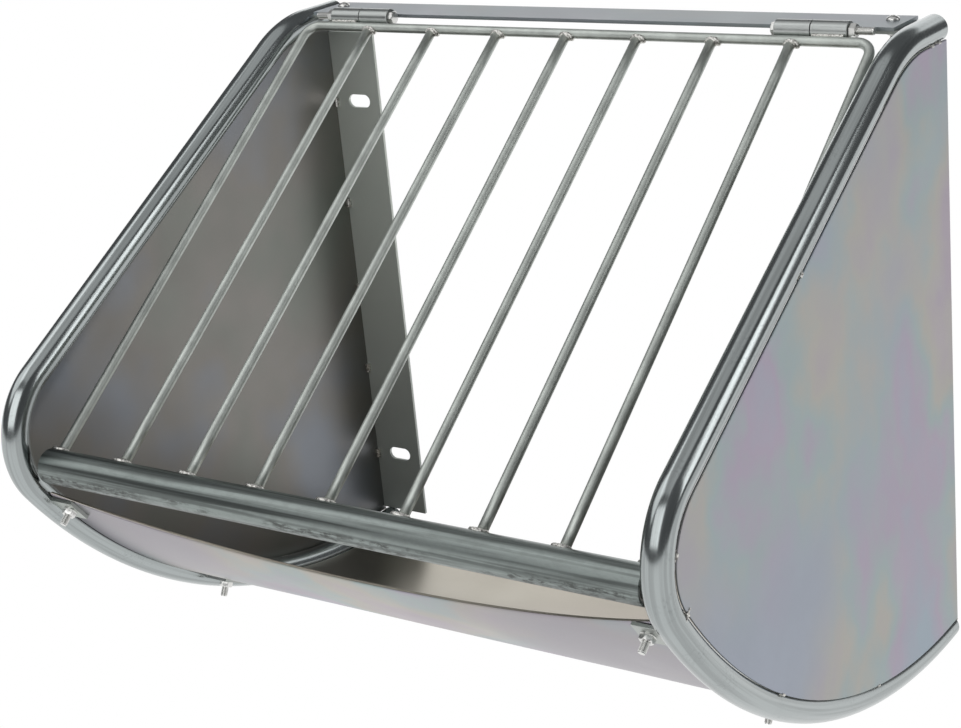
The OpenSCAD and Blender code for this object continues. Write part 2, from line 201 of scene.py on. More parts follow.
class Tree:
    # a geometry node group with named inputs and one method for every node
    def __init__(self, name, **inputs):
        self.group = bpy.data.node_groups.new(name, "GeometryNodeTree")
        face = self.group.interface
        face.new_socket("Geometry", in_out="INPUT", socket_type="NodeSocketGeometry")
        for label, kind in inputs.items():
            face.new_socket(label, in_out="INPUT", socket_type=kind)
        face.new_socket("Geometry", in_out="OUTPUT", socket_type="NodeSocketGeometry")
        self.source = self.group.nodes.new("NodeGroupInput")
        self.sink = self.group.nodes.new("NodeGroupOutput")

    def input(self, label):
        return self.source.outputs[label]

    def add(self, kind, settings=None, sockets=None, out=0):
        node = self.group.nodes.new(kind)
        for key, value in (settings or {}).items():
            setattr(node, key, value)
        for key, value in (sockets or {}).items():
            if isinstance(value, bpy.types.NodeSocket):
                self.group.links.new(value, node.inputs[key])
            else:
                node.inputs[key].default_value = value
        return node.outputs[out]

    def math(self, operation, first, second):
        return self.add("ShaderNodeMath", {"operation": operation}, {0: first, 1: second})

    def finish(self, geometry):
        real = self.add("GeometryNodeRealizeInstances", None, {"Geometry": geometry})
        sockets = {"Geometry": real, "Material": self.input("Material")}
        done = self.add("GeometryNodeSetMaterial", None, sockets)
        self.group.links.new(done, self.sink.inputs[0])
        return self.group


def runTree(obj, group, **values):
    modifier = obj.modifiers.new(group.name, "NODES")
    modifier.node_group = group
    for item in group.interface.items_tree:
        if item.in_out == "INPUT" and item.name in values:
            modifier[item.identifier] = values[item.name]
    return bakeModifiers(obj)


# shader maths

class Wire:
    # a shader socket that adds Math nodes when it is used in an expression
    def __init__(self, recipe, socket):
        self.recipe = recipe
        self.socket = socket

    def math(self, operation, *others):
        return self.recipe.node("ShaderNodeMath", {"operation": operation}, dict(enumerate((self,) + others)))

    def __add__(self, other):
        return self.math("ADD", other)

    __radd__ = __add__

    def __mul__(self, other):
        return self.math("MULTIPLY", other)

    __rmul__ = __mul__

    def __sub__(self, other):
        return self.math("SUBTRACT", other)

    def __rsub__(self, other):
        return self.recipe.node("ShaderNodeMath", {"operation": "SUBTRACT"}, {0: other, 1: self})

    def __pow__(self, other):
        return self.math("POWER", other)

    def __abs__(self):
        return self.math("ABSOLUTE")

    def smaller(self, other):
        return self.math("MINIMUM", other)

    def ease(self, low, high):
        # 0 at low, 1 at high, smooth between; low may be the larger
        sockets = {"Value": self, "From Min": low, "From Max": high}
        return self.recipe.node("ShaderNodeMapRange", {"interpolation_type": "SMOOTHSTEP"}, sockets)


class Recipe:
    # a material of one Principled shader; constants go on its sockets at once
    def __init__(self, name, **constants):
        self.material = bpy.data.materials.new(name)
        self.material.use_nodes = True
        self.tree = self.material.node_tree
        self.shader = self.tree.nodes["Principled BSDF"]
        for label, value in constants.items():
            self.shader.inputs[self.socketName(label)].default_value = value
        self.place = self.node("ShaderNodeTexCoord", out="Object")

    @staticmethod
    def socketName(label):
        # baseColor becomes Base Color
        return "".join(" " + c if c.isupper() else c for c in label).title()

    def node(self, kind, settings=None, sockets=None, out=0):
        node = self.tree.nodes.new(kind)
        for key, value in (settings or {}).items():
            if key == "stops":
                ramp = node.color_ramp.elements
                while len(ramp) < len(value):
                    ramp.new(0.5)
                for element, (spot, colour) in zip(ramp, value):
                    element.position = spot
                    element.color = (*colour, 1)
            else:
                setattr(node, key, value)
        for key, value in (sockets or {}).items():
            if isinstance(value, Wire):
                self.tree.links.new(value.socket, node.inputs[key])
            else:
                node.inputs[key].default_value = value
        return Wire(self, node.outputs[out])

    def noise(
        self, scale, detail=3, roughness=0.5,
        stretch=(1, 1, 1), turn=(0, 0, 0), shift=(0, 0, 0), place=None,
    ):
        sockets = {"Vector": place or self.place, "Scale": stretch, "Rotation": turn, "Location": shift}
        spot = self.node("ShaderNodeMapping", {"vector_type": "TEXTURE"}, sockets)
        sockets = {"Vector": spot, "Scale": scale, "Detail": detail, "Roughness": roughness}
        return self.node("ShaderNodeTexNoise", None, sockets)

    def mix(self, amount, first, second):
        sockets = {0: amount}
        for number, colour in ((6, first), (7, second)):
            sockets[number] = colour if isinstance(colour, Wire) else (*colour, 1)
        return self.node("ShaderNodeMix", {"data_type": "RGBA"}, sockets, out=2)

    def ramp(self, amount, stops):
        return self.node("ShaderNodeValToRGB", {"stops": stops}, {"Fac": amount})

    def axis(self, name):
        return self.node("ShaderNodeSeparateXYZ", None, {0: self.place}, out=name)

    def feed(self, **wires):
        for label, wire in wires.items():
            self.tree.links.new(wire.socket, self.shader.inputs[self.socketName(label)])
        return self

    def bump(self, height, strength, depth):
        sockets = {"Height": height, "Strength": strength, "Distance": depth * mm}
        normal = self.node("ShaderNodeBump", None, sockets)
        self.tree.links.new(normal.socket, self.shader.inputs["Normal"])
        return self


# sizes read off the solids

rimShape = {
    "wall": 2 * mm,
    "topFlat": 41 * mm,
    "topBend": 113 * mm,
    "frontBend": 61 * mm,
    "bellyRadius": 507 * mm,
    "bellyOffset": 32 * mm,
    "sides": 56,
    "sharpAngle": 40,
    "steps": {"top": 3, "topBend": 20, "slope": 8, "frontBend": 44, "belly": 64},
}
rimLow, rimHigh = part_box("right_rim")
rimRadius = (rimHigh.x - rimLow.x) / 2
rimX = (rimHigh.x + rimLow.x) / 2
bellyRadius = rimShape["bellyRadius"]
bellyCentre = Vector((-rimShape["bellyOffset"], rimLow.z + rimRadius + bellyRadius))
topCentre = Vector((-rimShape["topFlat"], rimHigh.z - rimRadius - rimShape["topBend"]))
frontY = rimLow.y + rimRadius + rimShape["frontBend"]
reach = bellyRadius - rimShape["frontBend"]
frontCentre = Vector((frontY, bellyCentre.y - math.sqrt(reach ** 2 - (frontY - bellyCentre.x) ** 2)))
between = topCentre - frontCentre
slopeTurn = math.acos((rimShape["frontBend"] - rimShape["topBend"]) / between.length)
slopeNormal = math.atan2(between.y, between.x) + slopeTurn
bellyStart = math.pi + math.atan2(bellyCentre.y - frontCentre.y, bellyCentre.x - frontCentre.x)
bellyEnd = 1.5 * math.pi + math.asin(rimShape["bellyOffset"] / bellyRadius)


# finishes

finishLook = {
    "panel": {"colour": (0.33, 0.36, 0.42), "roughness": 0.36, "rainbow": 0.75},
    "trough": {"colour": (0.32, 0.30, 0.33), "roughness": 0.30, "rainbow": 0.9, "shift": (5, 2, 1)},
    "strip": {"colour": (0.33, 0.36, 0.38), "roughness": 0.38, "rainbow": 0.15, "shift": (1, 6, 2)},
    "plate": {"colour": (0.46, 0.49, 0.46), "roughness": 0.36, "rainbow": 0.2, "shift": (7, 1, 3)},
    "flange": {
        "colour": (0.42, 0.46, 0.43), "roughness": 0.42, "rainbow": 0.1, "shift": (7, 1, 3), "metal": 0.45,
    },
    "rim": {"colour": (0.38, 0.41, 0.41), "roughness": 0.12, "dullShare": 0.35},
    "bright": {"colour": (0.76, 0.76, 0.74), "roughness": 0.24},
    "knuckle": {"colour": (0.46, 0.48, 0.47), "roughness": 0.26},
    "weld": {"darkColour": (0.26, 0.25, 0.235), "brightColour": (0.84, 0.83, 0.79), "roughness": 0.28},
    "tube": {"colour": (0.245, 0.275, 0.265), "stainColour": (0.10, 0.105, 0.10), "roughness": 0.30},
    "rod": {"colour": (0.60, 0.635, 0.60), "roughness": 0.40},
}

rainbowLook = {
    "scale": 6,
    "patchScale": 3.6,
    "patchShift": (3.1, 1.7, 0.4),
    "patchRange": (0.34, 0.58),
    "stops": (
        (0.34, (0.31, 0.38, 0.435)),
        (0.44, (0.395, 0.325, 0.41)),
        (0.51, (0.325, 0.40, 0.39)),
        (0.57, (0.42, 0.395, 0.335)),
        (0.66, (0.395, 0.325, 0.375)),
    ),
}


def shade(colour, factor):
    return tuple(c * factor for c in colour)


def rainbow(recipe, base, strength, shift):
    # soft blue, pink, green and yellow clouds of a passivated zinc coat
    hue = recipe.noise(rainbowLook["scale"], 5, 0.5, stretch=(1, 1, 1.3), shift=shift)
    tint = recipe.ramp(hue, rainbowLook["stops"])
    patch = recipe.noise(rainbowLook["patchScale"], 3, 0.5, shift=rainbowLook["patchShift"])
    return recipe.mix(patch.ease(*rainbowLook["patchRange"]) * strength, base, tint)


def zincSheet(name, look, inner=None):
    # inner gives painted light or shade: a mask and the colour that shows where the mask is 1
    recipe = Recipe(name, metallic=look.get("metal", 1.0))
    shift = look.get("shift", (0, 0, 0))
    cloud = recipe.noise(17, 3, 0.5, shift=shift)
    grain = recipe.noise(420, 2, 0.5)
    base = recipe.mix(cloud.ease(0.3, 0.75), shade(look["colour"], 0.95), shade(look["colour"], 1.05))
    base = rainbow(recipe, base, look["rainbow"], shift)
    if inner:
        mask, paintedLightShadeColour = inner(recipe)
        base = recipe.mix(mask, base, paintedLightShadeColour)
    recipe.feed(baseColor=base, roughness=look["roughness"] - 0.05 + cloud * 0.12 + grain * 0.04)
    recipe.bump(cloud * 0.7 + grain * 0.3, 0.1, 0.2)
    return recipe.material


# colours painted in for light and shade: shade on the panels' inner faces, light on the trough's inner face
# and on the flanges' tops
paintedLightAndShade = {
    "panelShadeRange": (298.4 * mm, 297.6 * mm),
    "panelShadeStops": (
        (0.34, (0.225, 0.235, 0.215)),
        (0.50, (0.25, 0.24, 0.225)),
        (0.66, (0.235, 0.25, 0.275)),
    ),
    "troughLightRange": (bellyRadius - 0.5 * mm, bellyRadius - 1.2 * mm),
    "troughLightStops": ((0.35, (0.40, 0.36, 0.31)), (0.65, (0.44, 0.41, 0.345))),
    "flangeLightRange": (-0.25, 0.10),
    "flangeBlur": 40 * mm,
    "flangeLightColour": (0.80, 0.85, 0.79),
}


def panelInsideShade(recipe):
    # painted shade: the faces that look into the box get darker colours; they lie nearer the middle than the
    # range
    mask = abs(recipe.axis("X")).ease(*paintedLightAndShade["panelShadeRange"])
    patch = recipe.noise(7, 3, 0.5, shift=(2, 4, 1))
    return mask, recipe.ramp(patch, paintedLightAndShade["panelShadeStops"])


def troughInsideLight(recipe):
    # painted light: the trough's inner face gets a lighter warm tan, told from its outer one by the distance
    # to the belly's centre
    y = recipe.axis("Y") - bellyCentre.x
    z = recipe.axis("Z") - bellyCentre.y
    radius = (y * y + z * z) ** 0.5
    patch = recipe.noise(6, 2, 0.5, shift=(1, 2, 6))
    return radius.ease(*paintedLightAndShade["troughLightRange"]), recipe.ramp(patch, paintedLightAndShade["troughLightStops"])


def flangeTopLight(recipe):
    # painted light: the flanges are brighter towards their tops
    height = recipe.axis("Z") + recipe.noise(20, 2, 0.5) * paintedLightAndShade["flangeBlur"]
    return height.ease(*paintedLightAndShade["flangeLightRange"]), paintedLightAndShade["flangeLightColour"]


def polishedZinc(name, look):
    recipe = Recipe(name, metallic=1.0)
    smear = recipe.noise(14, 3, 0.5)
    fine = recipe.noise(260, 3, 0.55)
    recipe.feed(
        baseColor=recipe.mix(smear.ease(0.35, 0.65), shade(look["colour"], 0.93), look["colour"]),
        roughness=look["roughness"] + smear * 0.06 + fine * 0.05,
    )
    recipe.bump(smear * 0.5 + fine * 0.2, 0.08, 0.2)
    return recipe.material


def drawnRim(name, look):
    # long streaks follow the bent tube by the mesh's own "along" attribute
    recipe = Recipe(name, metallic=1.0)
    along = recipe.node("ShaderNodeAttribute", {"attribute_name": "along"}, out="Vector")
    streak = recipe.noise(260, 2, 0.5, stretch=(1, 1, 45), place=along)
    wave = recipe.noise(45, 2, 0.5, stretch=(1, 1, 14), place=along)
    smear = recipe.noise(14, 3, 0.5)
    speck = recipe.noise(420, 4, 0.7).ease(0.5, 0.66)
    patch = recipe.noise(24, 3, 0.5, shift=(4, 4, 4)).ease(0.5, 0.64)
    base = recipe.mix(streak.ease(0.36, 0.62), shade(look["colour"], 0.84), shade(look["colour"], 1.08))
    recipe.feed(
        baseColor=recipe.mix(speck * patch * look["dullShare"], base, shade(look["colour"], 0.5)),
        roughness=look["roughness"] + smear * 0.08 + streak * 0.06,
    )
    recipe.bump(streak * 0.3 + wave * 0.7, 0.35, 0.35)
    return recipe.material


def drawnRod(name, look, slope):
    # fine marks run along the bars, which lie in the grille's slope
    recipe = Recipe(name, metallic=1.0)
    marks = recipe.noise(420, 3, 0.6, stretch=(1, 40, 1), turn=(slope, 0, 0))
    blotch = recipe.noise(30, 4, 0.6)
    dark, bright = shade(look["colour"], 0.82), shade(look["colour"], 1.15)
    recipe.feed(
        baseColor=recipe.mix(blotch.ease(0.3, 0.75), dark, bright),
        roughness=look["roughness"] + blotch * 0.10 + marks * 0.06,
    )
    recipe.bump(marks * 0.6 + blotch * 0.4, 0.12, 0.1)
    return recipe.material


def mottledTube(name, look, middle):
    # streaks run along the tube; a band below its middle is more stained
    recipe = Recipe(name, metallic=1.0)
    streak = recipe.noise(330, 2, 0.5, stretch=(60, 1, 1))
    speck = recipe.noise(300, 5, 0.7, stretch=(2.5, 1, 1))
    cloud = recipe.noise(30, 3, 0.55, stretch=(2.5, 1, 1))
    height = recipe.axis("Z") - middle + (cloud - 0.5) * 8 * mm
    band = height.ease(1 * mm, -1 * mm) * height.ease(-13 * mm, -9 * mm)
    amount = 0.12 + band * cloud.ease(0.42, 0.6) * 0.75
    stain = (speck.ease(0.44, 0.62) * amount).smaller(0.85)
    clean = recipe.mix(streak.ease(0.36, 0.62), shade(look["colour"], 0.62), shade(look["colour"], 1.22))
    recipe.feed(
        baseColor=recipe.mix(stain, clean, look["stainColour"]),
        roughness=look["roughness"] + stain * 0.2 + streak * 0.12,
    )
    recipe.bump(streak * 0.75 + speck * 0.25, 0.35, 0.3)
    return recipe.material


def weldMetal(name, look):
    recipe = Recipe(name, metallic=1.0)
    spot = recipe.noise(520, 4, 0.6)
    cloud = recipe.noise(120, 3, 0.5)
    recipe.feed(
        baseColor=recipe.mix(spot.ease(0.34, 0.56), look["darkColour"], look["brightColour"]),
        roughness=look["roughness"] + cloud * 0.25,
    )
    recipe.bump(spot, 0.6, 0.25)
    return recipe.material


# the panels' inner faces carry painted shade; the trough's inner face and the flanges' tops carry painted
# light
panelZinc = zincSheet("panelZinc", finishLook["panel"], panelInsideShade)
troughZinc = zincSheet("troughZinc", finishLook["trough"], troughInsideLight)
stripZinc = zincSheet("stripZinc", finishLook["strip"])
plateZinc = zincSheet("plateZinc", finishLook["plate"])
flangeZinc = zincSheet("flangeZinc", finishLook["flange"], flangeTopLight)
rimZinc = drawnRim("rimZinc", finishLook["rim"])
brightZinc = polishedZinc("brightZinc", finishLook["bright"])
knuckleZinc = polishedZinc("knuckleZinc", finishLook["knuckle"])
weldZinc = weldMetal("weldZinc", finishLook["weld"])
tubeLow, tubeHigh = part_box("cross_tube")
tubeCentre = (tubeLow + tubeHigh) / 2
tubeZinc = mottledTube("tubeZinc", finishLook["tube"], tubeCentre.z)
print("finishes made")


# rims

def heading(angle):
    return Vector((math.cos(angle), math.sin(angle)))


def polar(centre, radius, angle):
    return centre + radius * heading(angle)


def rimPath(offset=0.0):
    # the centreline in the side plane as (point, outward normal), moved outwards by offset
    path = []

    def arc(centre, radius, start, stop, steps):
        for k in range(steps + 1):
            angle = start + (stop - start) * k / steps
            path.append((polar(centre, radius + offset, angle), heading(angle)))

    steps = rimShape["steps"]
    up = Vector((0, 1))
    for k in range(steps["top"]):
        path.append((Vector((-rimShape["topFlat"] * k / steps["top"], rimHigh.z - rimRadius + offset)), up))
    arc(topCentre, rimShape["topBend"], math.pi / 2, slopeNormal, steps["topBend"])
    first = polar(topCentre, rimShape["topBend"] + offset, slopeNormal)
    last = polar(frontCentre, rimShape["frontBend"] + offset, slopeNormal)
    for k in range(1, steps["slope"]):
        path.append((first.lerp(last, k / steps["slope"]), heading(slopeNormal)))
    arc(frontCentre, rimShape["frontBend"], slopeNormal, bellyStart, steps["frontBend"])
    arc(bellyCentre, bellyRadius, bellyStart, bellyEnd, steps["belly"])
    return path


def rimTube(side):
    # the outer and the inner wall, joined at both ends
    path = rimPath()
    sides = rimShape["sides"]
    points, faces = [], []
    for radius in (rimRadius, rimRadius - rimShape["wall"]):
        for centre, normal in path:
            for k in range(sides):
                angle = 2 * math.pi * k / sides
                out = normal * (radius * math.cos(angle))
                y = min(centre.x + out.x, 0)
                points.append((side * rimX + radius * math.sin(angle), y, centre.y + out.y))
    rings = len(path)
    inner = rings * sides
    for j in range(rings - 1):
        a = j * sides
        b = a + sides
        for k in range(sides):
            n = (k + 1) % sides
            faces.append((a + k, a + n, b + n, b + k))
            faces.append((inner + a + k, inner + b + k, inner + b + n, inner + a + n))
    for start in (0, (rings - 1) * sides):
        for k in range(sides):
            n = (k + 1) % sides
            faces.append((start + k, start + n, inner + start + n, inner + start + k))
    mesh = meshFrom("rimTube", points, faces, rimShape["sharpAngle"])

    # the streaks' own space: round the tube, and the length run along it
    run = [0.0]
    for (here, _), (there, _) in zip(path, path[1:]):
        run.append(run[-1] + (there - here).length)
    along = mesh.attributes.new("along", "FLOAT_VECTOR", "POINT")
    for n in range(len(points)):
        ring, k = divmod(n % inner, sides)
        angle = 2 * math.pi * k / sides
        along.data[n].vector = (rimRadius * math.cos(angle) + side, rimRadius * math.sin(angle), run[ring])
    return mesh


for side, word in sideWords.items():
    rim = link(word + "RimTube", rimTube(side))
    hand(rim, "frame", "rim_zinc", rimZinc, word + "_rim")
print("rims bent")


# end panels, flanges, brackets, lugs and knuckles

plateEdge = dressing["plateEdge"]
for word in sideWords.values():
    dressNode(word + "_end_panel", "frame", "panel_zinc", panelZinc, dressing["panelEdge"])
    dressNode(word + "_wall_flange", "frame", "plate_zinc", flangeZinc, plateEdge)
    dressNode(word + "_trough_lugs", "frame", "plate_zinc", plateZinc, plateEdge)
    dressNode(word + "_strip_bracket", "frame", "plate_zinc", plateZinc, plateEdge)
    dressNode(word + "_fixed_knuckle", "frame", "knuckle_zinc", knuckleZinc, plateEdge)
    dressNode(word + "_moving_knuckle", "grille", "knuckle_zinc", knuckleZinc, plateEdge)
dressNode("top_strip", "frame", "strip_zinc", stripZinc, plateEdge)
for node in ("strip_nuts", "hinge_nuts"):
    dressNode(node, "frame", "fastener_zinc", brightZinc, dressing["nutEdge"])
dressNode("cross_tube_plugs", "grille", "fastener_zinc", brightZinc, dressing["plugEdge"])
print("plates and knuckles dressed")


# trough

troughShape = {
    "thickness": 1.5 * mm,
    "lipInset": 6 * mm,
    "lipDip": 50 * mm,
    "hemWidth": 6 * mm,
    "hemRound": 0.6 * mm,
    "hemGap": 0.1 * mm,
    "noseSteps": 8,
    "acrossSteps": 96,
    "alongSteps": 72,
    "wave": 0.25 * mm,
    "sharpAngle": 50,
}
sheetLow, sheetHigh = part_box("trough_sheet")
sheetHalfWidth = (sheetHigh.x - sheetLow.x) / 2


def lipAngle(x):
    # the lip's edge is a circle across the rolled sheet, deepest at mid-span
    lipMiddle = bellyStart + (troughShape["lipInset"] + troughShape["lipDip"]) / bellyRadius
    sagitta = bellyRadius * math.sin(troughShape["lipDip"] / bellyRadius)
    lipRadius = (sheetHalfWidth ** 2 + sagitta ** 2) / (2 * sagitta)
    rise = lipRadius - math.sqrt(lipRadius ** 2 - x ** 2)
    return lipMiddle - math.asin(rise / bellyRadius)


def troughLoop(lip, rearAngle):
    # one section of the sheet as (radius, angle): round nose, hem, inner face and outer face
    outer = bellyRadius
    thick = troughShape["thickness"]
    noseSteps = troughShape["noseSteps"]
    steps = troughShape["alongSteps"]
    hem = lip + troughShape["hemWidth"] / outer
    loop = []
    for k in range(noseSteps + 1):
        turn = math.pi * k / noseSteps
        loop.append((outer - thick + thick * math.cos(turn), lip + thick * (1 - math.sin(turn)) / outer))
    loop.append((outer - 2 * thick, hem - troughShape["hemRound"] / outer))
    loop.append((outer - 1.75 * thick, hem))
    loop.append((outer - thick, hem + troughShape["hemGap"] / outer))
    for k in range(1, steps + 1):
        loop.append((outer - thick, hem + (rearAngle - hem) * k / steps))
    for k in range(steps + 1):
        loop.append((outer, rearAngle + (lip + thick / outer - rearAngle) * k / (steps + 1)))
    return loop


def troughSheet():
    outer = bellyRadius
    across = troughShape["acrossSteps"]
    rearAngle = 1.5 * math.pi + math.asin((rimShape["bellyOffset"] + sheetHigh.y) / outer)
    points, faces, columns = [], [], []
    for i in range(across + 1):
        x = -sheetHalfWidth + 2 * sheetHalfWidth * i / across
        loop = troughLoop(lipAngle(x), rearAngle)
        columns.append((len(points), len(loop)))
        for radius, angle in loop:
            # a slight wave of rolled sheet, which keeps the outer face within the solid's
            waved = radius + troughShape["wave"] * noiseField.noise(Vector((x * 9, angle * 6, 0.3)))
            if radius == outer:
                waved = min(waved, outer)
            spot = polar(bellyCentre, waved, angle)
            points.append((x, spot.x, spot.y))
    for (a, count), (b, _) in zip(columns, columns[1:]):
        for k in range(count):
            n = (k + 1) % count
            faces.append((a + k, a + n, b + n, b + k))
    for start, count in (columns[0], columns[-1]):
        faces.append(tuple(range(start, start + count)))
    return meshFrom("troughSheet", points, faces, troughShape["sharpAngle"])


trough = link("rolledTrough", troughSheet())
hand(trough, "frame", "trough_zinc", troughZinc, "trough_sheet")
print("trough rolled")


# grille

grilleShape = {
    "hinge": Vector(frame["record"]["behaviour"]["joints"][0]["pos_m"]),
    "rodRadius": 4 * mm,
    "cornerRadius": 13 * mm,
    "tubeRadius": 14 * mm,
    "tubeWall": 2 * mm,
    "tubeChamfer": 0.3 * mm,
    "rodOffset": 11.8 * mm,
    "weldGap": 0.2 * mm,
    "innerBars": 7,
    "rodSides": 28,
    "barSides": 32,
    "barRows": 12,
    "bendSteps": 12,
    "tubeSides": 64,
    "tubeRows": 40,
    "rodSharpAngle": 50,
    "tubeSharpAngle": 30,
}
hinge = grilleShape["hinge"]
slopeDown = Vector((0, tubeCentre.y - hinge.y, tubeCentre.z - hinge.z))
grilleLength = slopeDown.length
slopeDown.normalize()
slopeOut = Vector((0, slopeDown.z, -slopeDown.y))
grilleSlope = math.atan2(-slopeDown.z, -slopeDown.y)
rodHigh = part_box("grille_frame_rod")[1]
sideRodX = rodHigh.x - grilleShape["rodRadius"]
barPitch = 2 * sideRodX / (grilleShape["innerBars"] + 1)
barTop = grilleShape["rodOffset"] + grilleShape["rodRadius"] + grilleShape["weldGap"]
barFoot = grilleLength - grilleShape["tubeRadius"] - grilleShape["weldGap"]
rodZinc = drawnRod("rodZinc", finishLook["rod"], grilleSlope)


def onGrille(x, down, out=0.0):
    # a point of the grille's plane: across, down the slope from the hinge line, and out of the plane
    return Vector((x, hinge.y, hinge.z)) + slopeDown * down + slopeOut * out


def sweep(path, radius, sides):
    # a round rod along points, with its rings square to the path and its ends closed
    points = []
    last = len(path) - 1
    for i, spot in enumerate(path):
        ahead = (path[min(i + 1, last)] - path[max(i - 1, 0)]).normalized()
        first = ahead.cross(slopeOut).normalized()
        second = ahead.cross(first).normalized()
        for k in range(sides):
            angle = 2 * math.pi * k / sides
            points.append(spot + radius * (math.cos(angle) * first + math.sin(angle) * second))
    faces = ringFaces(len(path), sides)
    for start in (0, last * sides):
        faces.append(tuple(range(start, start + sides)))
    return points, faces


def frameRodPath():
    # up the right side, round the corner, and mirrored to the left
    rodDown = grilleShape["rodOffset"]
    bend = grilleShape["cornerRadius"]
    steps = grilleShape["bendSteps"]
    half = []
    for k in range(steps):
        half.append(onGrille(sideRodX, barFoot + (rodDown + bend - barFoot) * k / steps))
    for k in range(steps + 1):
        angle = 0.5 * math.pi * k / steps
        x = sideRodX - bend + bend * math.cos(angle)
        half.append(onGrille(x, rodDown + bend - bend * math.sin(angle)))
    return half + [Vector((-p.x, p.y, p.z)) for p in reversed(half)]


rodPoints, rodFaces = sweep(frameRodPath(), grilleShape["rodRadius"], grilleShape["rodSides"])
frameRod = link("bentFrameRod", meshFrom("bentFrameRod", rodPoints, rodFaces, grilleShape["rodSharpAngle"]))
hand(frameRod, "grille", "rod_zinc", rodZinc, "grille_frame_rod")


def barTree():
    # a row of bars across the grille, turned into its slope and moved to its middle
    tree = Tree(
        "barRow", Count="NodeSocketInt", First="NodeSocketFloat", Pitch="NodeSocketFloat",
        Length="NodeSocketFloat", Radius="NodeSocketFloat", Slope="NodeSocketVector",
        Middle="NodeSocketVector", Material="NodeSocketMaterial",
    )
    first = tree.add("ShaderNodeCombineXYZ", None, {"X": tree.input("First")})
    step = tree.add("ShaderNodeCombineXYZ", None, {"X": tree.input("Pitch")})
    sockets = {"Count": tree.input("Count"), "Start Location": first, "Offset": step}
    row = tree.add("GeometryNodeMeshLine", None, sockets)
    rod = tree.add("GeometryNodeMeshCylinder", None, {
        "Vertices": grilleShape["barSides"], "Side Segments": grilleShape["barRows"],
        "Radius": tree.input("Radius"), "Depth": tree.input("Length"),
    })
    smooth = tree.add("GeometryNodeSetShadeSmooth", None, {"Geometry": rod})
    sockets = {"Points": row, "Instance": smooth, "Rotation": tree.input("Slope")}
    copies = tree.add("GeometryNodeInstanceOnPoints", None, sockets)
    real = tree.add("GeometryNodeRealizeInstances", None, {"Geometry": copies})
    sockets = {"Geometry": real, "Translation": tree.input("Middle")}
    return tree.finish(tree.add("GeometryNodeTransform", None, sockets))


bars = link("innerBars", bpy.data.meshes.new("innerBars"))
runTree(
    bars, barTree(), Count=grilleShape["innerBars"], First=-barPitch * (grilleShape["innerBars"] - 1) / 2,
    Pitch=barPitch, Length=barFoot - barTop, Radius=grilleShape["rodRadius"],
    Slope=(math.pi / 2 + grilleSlope, 0, 0), Middle=onGrille(0, (barTop + barFoot) / 2), Material=rodZinc,
)
barNodes = ["grille_bar_%d" % (k + 1) for k in range(grilleShape["innerBars"])]
hand(bars, "grille", "rod_zinc", rodZinc, *barNodes)


def hollowTube(halfLength):
    # the cross tube about +Z, with chamfered ends
    radius = grilleShape["tubeRadius"]
    inner = radius - grilleShape["tubeWall"]
    chamfer = grilleShape["tubeChamfer"]
    rows = grilleShape["tubeRows"]
    straight = 2 * halfLength - 2 * chamfer
    profile = [(radius - chamfer, -halfLength)]
    profile += [(radius, -halfLength + chamfer + straight * k / rows) for k in range(rows + 1)]
    profile += [(radius - chamfer, halfLength), (inner + chamfer, halfLength), (inner, halfLength - chamfer)]
    profile += [(inner, -halfLength + chamfer), (inner + chamfer, -halfLength)]
    return lathe(profile, grilleShape["tubeSides"], closed=True)


tubeMesh = hollowTube(tubeHigh.x)
tubeMesh.transform(Matrix.Translation(tubeCentre) @ Matrix.Rotation(math.pi / 2, 4, "Y"))
softShade(tubeMesh, grilleShape["tubeSharpAngle"])
crossTube = link("crossTube", tubeMesh)
hand(crossTube, "grille", "tube_zinc", tubeZinc, "cross_tube")
print("grille made")


# bolts

boltShape = {
    "radius": 3 * mm,
    "threadDepth": 0.38 * mm,
    "pitch": 1.0 * mm,
    "threadSteps": (0.25, 0.4, 0.8),  # ends of the slope in, the root and the slope out, in pitches
    "shankSides": 28,
    "hexAcrossFlats": 10 * mm,
    "hexHead": 4 * mm,
    "hexSides": 48,
    "cutCorner": 1.02,  # reach of the corners where they are turned down, in half widths
    "roundHeadRadius": 5.25 * mm,
    "roundHead": 3.2 * mm,
    "roundHeadEdge": 0.48 * mm,
    "roundHeadTurn": 0.4 * math.pi,
    "roundHeadSides": 36,
    "socketRadius": 2.2 * mm,
    "sharpAngle": 35,
    "troughBolt": (18 * mm, 15 * mm),  # shank and thread
    "stripScrew": (16 * mm, 14 * mm),
    "hingeThread": 22 * mm,
}
nutShape = {
    "height": 5 * mm,
    "washer": 1 * mm,
    "bore": 3.1 * mm,
    "washerRadius": 5.75 * mm,
    "washerFoot": 5.7 * mm,
    "washerTop": 5.5 * mm,
}


def threadedShank(length, threadLength):
    # a shank down -Z with thread grooves over its last stretch and a narrower tip
    radius, pitch = boltShape["radius"], boltShape["pitch"]
    root = radius - boltShape["threadDepth"]
    slopeIn, rootEnd, slopeBack = boltShape["threadSteps"]
    turns = int(threadLength / pitch)
    start = -(length - turns * pitch)
    profile = [(radius, 0.0), (radius, start)]
    for k in range(turns):
        top = start - k * pitch
        profile += [(root, top - slopeIn * pitch), (root, top - rootEnd * pitch)]
        if k < turns - 1:
            profile += [(radius, top - slopeBack * pitch), (radius, top - pitch)]
    profile += [(root, -length), (poleRadius, -length)]
    return lathe(profile, boltShape["shankSides"])


def roundHead():
    # a low dome with a round socket
    radius, height = boltShape["roundHeadRadius"], boltShape["roundHead"]
    edge, turn = boltShape["roundHeadEdge"], boltShape["roundHeadTurn"]
    socket = boltShape["socketRadius"]
    domeSteps = 8
    profile = [(poleRadius, 0), (radius, 0), (radius, edge)]
    for k in range(1, domeSteps + 1):
        a = turn * k / domeSteps
        profile.append((radius * math.cos(a), edge + (height - edge) * math.sin(a) / math.sin(turn)))
    profile += [(socket, height), (socket * 0.96, height * 0.45), (poleRadius, height * 0.4)]
    return lathe(profile, boltShape["roundHeadSides"])


